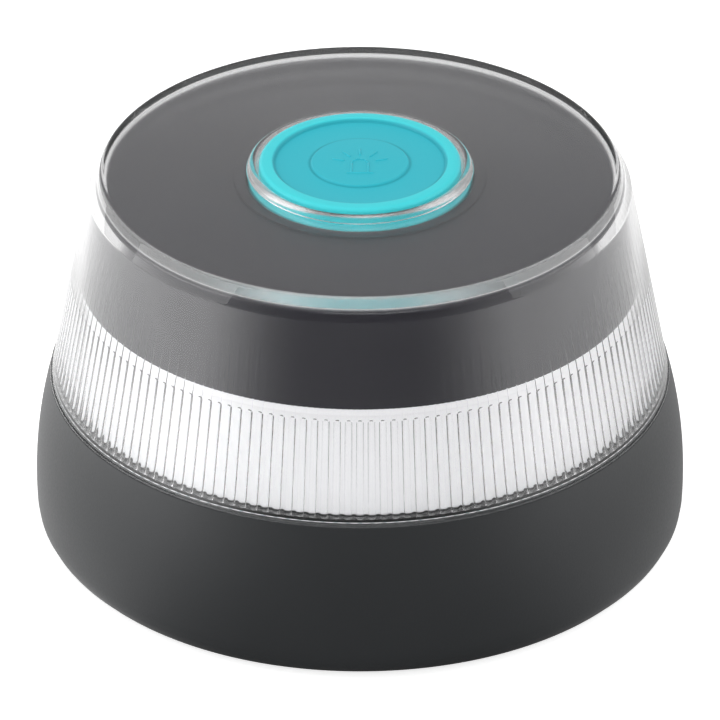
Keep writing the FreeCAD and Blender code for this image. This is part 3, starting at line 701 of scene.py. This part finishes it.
def board_mask(name, dark, light, edge):
    """Solder mask over tracks: blocks of two tones, and the bare fibre where the board is cut."""
    material, tree, shader, coords = new_material(name)
    tracks = tree.nodes.new("ShaderNodeTexBrick")
    tracks.inputs["Scale"].default_value = 260
    tracks.inputs["Mortar Size"].default_value = 0.03
    tracks.inputs["Color1"].default_value = (*dark, 1)
    tracks.inputs["Color2"].default_value = (*[(a + b) / 2 for a, b in zip(dark, light)], 1)
    tracks.inputs["Mortar"].default_value = (*light, 1)
    tree.links.new(coords, tracks.inputs["Vector"])
    facing = tree.nodes.new("ShaderNodeNewGeometry")
    upright = tree.nodes.new("ShaderNodeSeparateXYZ")
    tree.links.new(facing.outputs["Normal"], upright.inputs["Vector"])
    flatness = tree.nodes.new("ShaderNodeMath")
    flatness.operation = "ABSOLUTE"
    tree.links.new(upright.outputs["Z"], flatness.inputs[0])
    cut = tree.nodes.new("ShaderNodeMix")
    cut.data_type = "RGBA"
    cut.inputs["A"].default_value = (*edge, 1)
    tree.links.new(flatness.outputs["Value"], cut.inputs["Factor"])
    tree.links.new(tracks.outputs["Color"], cut.inputs["B"])
    tree.links.new(cut.outputs["Result"], shader.inputs["Base Color"])
    relief = tree.nodes.new("ShaderNodeBump")
    relief.inputs["Strength"].default_value = 0.3
    relief.inputs["Distance"].default_value = 0.03 * MM
    tree.links.new(tracks.outputs["Fac"], relief.inputs["Height"])
    tree.links.new(relief.outputs["Normal"], shader.inputs["Normal"])
    shader.inputs["Roughness"].default_value = 0.35
    return material


dress(board_mask("green_mask", (0.015, 0.12, 0.05), (0.03, 0.22, 0.10), (0.42, 0.40, 0.24)),
      "main_board", "top_board")

# ---- Light strip ---------------------------------------------------------------------------------------
# A flexible board bent round the drum. Its mask is white, so that it throws the light outwards.
dress(skin("strip_white", (0.85, 0.85, 0.82), 0.4, mottle=0.1, grain_size=900, relief=0.1), "light_strip")

# ---- LED drum ------------------------------------------------------------------------------------------
# The white drum that holds the light strip at the height of the ribs and carries the top board.
dress(skin("drum_white", (0.80, 0.80, 0.79), 0.45, mottle=0.12, grain_size=1800, relief=0.2), "led_drum")

# ---- LEDs ----------------------------------------------------------------------------------------------
# Twenty-four amber light-emitting diodes, with clouds of the phosphor in their resin.
dress(skin("amber_resin", (0.95, 0.50, 0.06), 0.2, mottle=0.6, grain_size=1200, relief=0.05), "leds")

# ---- Modem module --------------------------------------------------------------------------------------
# The radio modem under a tinned steel can.
dress(metal("tinned_can", (0.62, 0.62, 0.60), 0.35, grain=(150.0, 1500.0, 150.0)), "modem_module")

# ---- Chips and board link ------------------------------------------------------------------------------
# The microcontroller, the SIM chip and the upright connector between the boards: matte black epoxy.
dress(skin("chip_epoxy", (0.022, 0.022, 0.024), 0.6, mottle=0.4, grain_size=3500, relief=0.4),
      "microcontroller", "sim_chip", "board_link")

# ---- Storage capacitors --------------------------------------------------------------------------------
# Two aluminium cans, drawn and left bare.
dress(metal("can_aluminium", (0.72, 0.72, 0.74), 0.32, grain=(300.0, 300.0, 1800.0)),
      "storage_capacitor_1", "storage_capacitor_2")

# ---- Power inductor ------------------------------------------------------------------------------------
# A closed ferrite block, grey-black and slightly porous.
dress(skin("ferrite_grey", (0.070, 0.070, 0.075), 0.7, mottle=0.6, grain_size=2000, relief=0.7),
      "power_inductor")

# ---- Satellite antenna ---------------------------------------------------------------------------------
# A ceramic patch with a silvered top.


def make_ceramic_patch():
    """Cream ceramic whose upper face carries a fired silver film."""
    material = skin("ceramic_patch", (0.72, 0.66, 0.52), 0.5, mottle=0.3, grain_size=1500, relief=0.3)
    tree = material.node_tree
    shader = tree.nodes["Principled BSDF"]
    facing = tree.nodes.new("ShaderNodeNewGeometry")
    upright = tree.nodes.new("ShaderNodeSeparateXYZ")
    tree.links.new(facing.outputs["Normal"], upright.inputs["Vector"])
    top = tree.nodes.new("ShaderNodeMath")
    top.operation = "GREATER_THAN"
    tree.links.new(upright.outputs["Z"], top.inputs[0])
    silver = tree.nodes.new("ShaderNodeMix")
    silver.data_type = "RGBA"
    silver.inputs["B"].default_value = (0.78, 0.77, 0.74, 1)
    tree.links.new(top.outputs["Value"], silver.inputs["Factor"])
    tree.links.new(tree.nodes["Group"].outputs["Color"], silver.inputs["A"])
    tree.links.new(silver.outputs["Result"], shader.inputs["Base Color"])
    tree.links.new(top.outputs["Value"], shader.inputs["Metallic"])
    return material


dress(make_ceramic_patch(), "satellite_antenna")

# ---- Button switch -------------------------------------------------------------------------------------
# A tact switch on the top board, under the button's stem: black case and red-brown plunger.
dress(skin("switch_black", (0.040, 0.040, 0.042), 0.45, mottle=0.3, grain_size=2500), "button_switch")
dress(skin("plunger_red", (0.55, 0.10, 0.06), 0.4, mottle=0.2, grain_size=2500, relief=0.2),
      "switch_plunger")

# ---- Screws --------------------------------------------------------------------------------------------
# Zinc-plated pan-head screws: four hold the main board, three the drum and three the top board.
dress(metal("zinc_plate", (0.58, 0.58, 0.60), 0.3, grain=(900.0, 900.0, 900.0)),
      "board_screws", "drum_screws", "top_screws")

# ---- Studio --------------------------------------------------------------------------------------------
# A white room with a dark end, where the camera stands. What shiny surfaces mirror of it is bright at the
# left, less so at the right, and dim in front and overhead. Soft boxes stand at both sides, above and in
# front.


def make_room_glow():
    """Node group: how bright the room looks by direction, mirrored or (Passing at 1) through the lens."""
    group = bpy.data.node_groups.new("room_glow", "ShaderNodeTree")
    group.interface.new_socket("Direction", in_out="INPUT", socket_type="NodeSocketVector")
    group.interface.new_socket("Passing", in_out="INPUT", socket_type="NodeSocketFloat")
    group.interface.new_socket("Glow", in_out="OUTPUT", socket_type="NodeSocketFloat")
    entry = group.nodes.new("NodeGroupInput")
    leave = group.nodes.new("NodeGroupOutput")
    split = group.nodes.new("ShaderNodeSeparateXYZ")
    group.links.new(entry.outputs["Direction"], split.inputs["Vector"])
    ramps = []
    for axis, low, high, at_low, at_high in (("Y", -0.96, -0.45, 0.12, 1.0), ("Z", 0.05, 0.45, 1.0, 0.28),
                                             ("X", -0.9, 0.9, 1.4, 0.85), ("Z", 0.0, 0.9, 0.9, 0.5)):
        ramp = group.nodes.new("ShaderNodeMapRange")
        ramp.interpolation_type = "SMOOTHSTEP"
        ramp.inputs["From Min"].default_value = low
        ramp.inputs["From Max"].default_value = high
        ramp.inputs["To Min"].default_value = at_low
        ramp.inputs["To Max"].default_value = at_high
        group.links.new(split.outputs[axis], ramp.inputs["Value"])
        ramps.append(ramp.outputs["Result"])
    front, overhead, sideways, seen_through = ramps
    room = group.nodes.new("ShaderNodeMath")
    room.operation = "MULTIPLY"
    group.links.new(overhead, room.inputs[0])
    group.links.new(sideways, room.inputs[1])
    choice = group.nodes.new("ShaderNodeMix")
    group.links.new(entry.outputs["Passing"], choice.inputs["Factor"])
    group.links.new(room.outputs["Value"], choice.inputs["A"])
    group.links.new(seen_through, choice.inputs["B"])
    glow = group.nodes.new("ShaderNodeMath")
    glow.operation = "MULTIPLY"
    group.links.new(front, glow.inputs[0])
    group.links.new(choice.outputs["Result"], glow.inputs[1])
    group.links.new(glow.outputs["Value"], leave.inputs["Glow"])
    return group


room_glow = make_room_glow()
white_room = bpy.data.worlds.new("white_room")
bpy.context.scene.world = white_room
white_room.use_nodes = True
sky = white_room.node_tree
sky.nodes["Background"].inputs["Color"].default_value = (1, 1, 1, 1)
direction = sky.nodes.new("ShaderNodeTexCoord")
height = sky.nodes.new("ShaderNodeSeparateXYZ")
sky.links.new(direction.outputs["Generated"], height.inputs["Vector"])
lighting = sky.nodes.new("ShaderNodeMapRange")
lighting.inputs["From Max"].default_value = 0.9
lighting.inputs["To Min"].default_value = 1.0
lighting.inputs["To Max"].default_value = 0.5
sky.links.new(height.outputs["Z"], lighting.inputs["Value"])


def seen_directly(tree):
    """The Light Path node, and 1 for rays that only mirrors or glass have turned since the camera."""
    path = tree.nodes.new("ShaderNodeLightPath")
    unscattered = tree.nodes.new("ShaderNodeMath")
    unscattered.operation = "LESS_THAN"
    unscattered.inputs[1].default_value = 0.5
    tree.links.new(path.outputs["Diffuse Depth"], unscattered.inputs[0])
    mask = tree.nodes.new("ShaderNodeMath")
    mask.operation = "MULTIPLY"
    tree.links.new(path.outputs["Is Glossy Ray"], mask.inputs[0])
    tree.links.new(unscattered.outputs["Value"], mask.inputs[1])
    return path, mask.outputs["Value"]


ray, sky_mask = seen_directly(sky)
mirrored = sky.nodes.new("ShaderNodeGroup")
mirrored.node_tree = room_glow
sky.links.new(direction.outputs["Generated"], mirrored.inputs["Direction"])
sky.links.new(ray.outputs["Is Transmission Ray"], mirrored.inputs["Passing"])
strength = sky.nodes.new("ShaderNodeMix")
sky.links.new(sky_mask, strength.inputs["Factor"])
sky.links.new(lighting.outputs["Result"], strength.inputs["A"])
sky.links.new(mirrored.outputs["Glow"], strength.inputs["B"])
shown = sky.nodes.new("ShaderNodeMath")
shown.operation = "MAXIMUM"
sky.links.new(strength.outputs["Result"], shown.inputs[0])
sky.links.new(ray.outputs["Is Camera Ray"], shown.inputs[1])
sky.links.new(shown.outputs["Value"], sky.nodes["Background"].inputs["Strength"])

bpy.ops.object.select_all(action="DESELECT")
bpy.ops.mesh.primitive_plane_add(size=6, location=(0, 0, 0))
floor = bpy.context.object
floor.name = "floor"
floor_white, floor_tree, floor_shader, floor_coords = new_material("floor_white")
floor_shader.inputs["Base Color"].default_value = (0.88, 0.88, 0.88, 1)
floor_shader.inputs["Roughness"].default_value = 0.9
floor_shader.inputs["Specular IOR Level"].default_value = 0.0
floor_shader.inputs["Emission Color"].default_value = (1, 1, 1, 1)
floor_path, floor_mask = seen_directly(floor_tree)
lift = floor_tree.nodes.new("ShaderNodeMath")
lift.operation = "MULTIPLY"
lift.inputs[1].default_value = 0.7
floor_tree.links.new(floor_path.outputs["Is Camera Ray"], lift.inputs[0])
floor_tree.links.new(lift.outputs["Value"], floor_shader.inputs["Emission Strength"])
outwards = floor_tree.nodes.new("ShaderNodeVectorMath")
outwards.operation = "NORMALIZE"
floor_tree.links.new(floor_coords, outwards.inputs[0])
floor_glow = floor_tree.nodes.new("ShaderNodeGroup")
floor_glow.node_tree = room_glow
floor_tree.links.new(outwards.outputs["Vector"], floor_glow.inputs["Direction"])
floor_mirrored = floor_tree.nodes.new("ShaderNodeEmission")
floor_tree.links.new(floor_path.outputs["Is Transmission Ray"], floor_glow.inputs["Passing"])
away = floor_tree.nodes.new("ShaderNodeVectorMath")
away.operation = "LENGTH"
floor_tree.links.new(floor_coords, away.inputs[0])
far_glow = floor_tree.nodes.new("ShaderNodeMapRange")
far_glow.inputs["From Min"].default_value = 0.09
far_glow.inputs["From Max"].default_value = 0.24
far_glow.inputs["To Min"].default_value = 0.9
far_glow.inputs["To Max"].default_value = 2.4
floor_tree.links.new(away.outputs["Value"], far_glow.inputs["Value"])
far_mirrored = floor_tree.nodes.new("ShaderNodeMix")
far_mirrored.inputs["B"].default_value = 1.0
floor_tree.links.new(floor_path.outputs["Is Transmission Ray"], far_mirrored.inputs["Factor"])
floor_tree.links.new(far_glow.outputs["Result"], far_mirrored.inputs["A"])
floor_strength = floor_tree.nodes.new("ShaderNodeMath")
floor_strength.operation = "MULTIPLY"
floor_tree.links.new(floor_glow.outputs["Glow"], floor_strength.inputs[0])
floor_tree.links.new(far_mirrored.outputs["Result"], floor_strength.inputs[1])
floor_tree.links.new(floor_strength.outputs["Value"], floor_mirrored.inputs["Strength"])
floor_mix = floor_tree.nodes.new("ShaderNodeMixShader")
floor_tree.links.new(floor_mask, floor_mix.inputs["Fac"])
floor_tree.links.new(floor_shader.outputs["BSDF"], floor_mix.inputs[1])
floor_tree.links.new(floor_mirrored.outputs["Emission"], floor_mix.inputs[2])
floor_tree.links.new(floor_mix.outputs["Shader"], floor_tree.nodes["Material Output"].inputs["Surface"])
floor.data.materials.append(floor_white)


def soft_box(name, location, width, height, power):
    """An area lamp at a place, aimed at the middle of the beacon."""
    data = bpy.data.lights.new(name, "AREA")
    data.shape = "RECTANGLE"
    data.size = width
    data.size_y = height
    data.energy = power
    lamp = bpy.data.objects.new(name, data)
    bpy.context.scene.collection.objects.link(lamp)
    lamp.location = location
    lamp.rotation_euler = (Vector((0, 0, 28 * MM)) - lamp.location).to_track_quat("-Z", "Y").to_euler()
    return lamp


soft_box("left_box", (-0.85, -0.15, 0.45), 0.8, 0.8, 3.2)
soft_box("right_box", (0.85, -0.05, 0.38), 0.7, 0.7, 1.6)
soft_box("top_box", (-0.15, 0.1, 0.95), 0.7, 0.7, 1.3)
front_box = soft_box("front_box", (0.1, -1.0, 0.75), 0.8, 0.5, 2.6)
front_box.visible_glossy = False

camera_data = bpy.data.cameras.new("camera")
camera_data.lens = 445
camera_data.clip_end = 20
camera = bpy.data.objects.new("camera", camera_data)
bpy.context.scene.collection.objects.link(camera)
aim = Vector((0, 0, 25.0 * MM))
camera.location = (0, -1.064, 0.6446)
camera.rotation_euler = (aim - camera.location).to_track_quat("-Z", "Y").to_euler()
bpy.context.scene.camera = camera
bpy.context.scene.cycles.glossy_bounces = 12
bpy.context.scene.cycles.max_bounces = 16
bpy.context.scene.view_settings.view_transform = "Standard"
